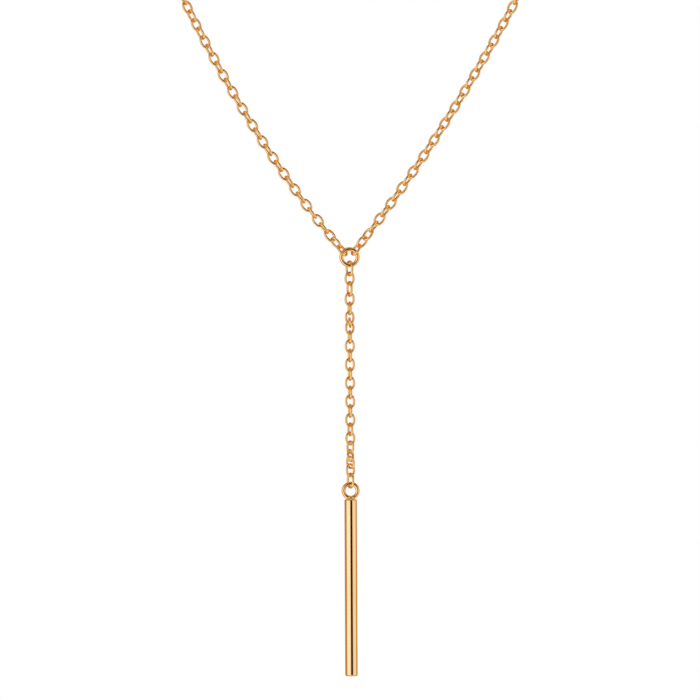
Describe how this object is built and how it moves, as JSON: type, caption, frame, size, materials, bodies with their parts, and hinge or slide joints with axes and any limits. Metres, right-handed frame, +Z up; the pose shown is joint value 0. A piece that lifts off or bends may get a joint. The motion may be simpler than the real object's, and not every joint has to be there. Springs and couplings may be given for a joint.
{
  "type": "y necklace",
  "caption": "Y necklace of fine cable chain whose two arms meet at a plain ring, with a drop chain and a slim round bar hanging below.",
  "frame": {"origin": "at the nape, in the middle of the clasp's ring, where the closed loop rests on the back of a neck", "axes": "+Z up, -Y towards the wearer's front, +X to the right in front view; the pendant hangs straight down below the front of the loop"},
  "size_m": [0.1056, 0.1031, 0.1704],
  "materials": {
    "bar": "polished rose gold colour plating",
    "rings": "polished rose gold colour plating",
    "chain": "polished rose gold colour plating",
    "clasp": "polished rose gold colour plating"
  },
  "bodies": {
    "loop": {"centre_ring": "rings", "chain_drop": "chain", "chain_left": "chain", "chain_right": "chain", "clasp": "clasp", "end_ring": "rings"},
    "pendant": {"bar": "bar"}
  },
  "joints": [
    {"name": "bar_swing", "type": "hinge", "parent": "loop", "child": "pendant", "pos_m": [0, -0.1, -0.13007], "axis": [0, 1, 0], "range_deg": [-80, 80]}
  ]
}
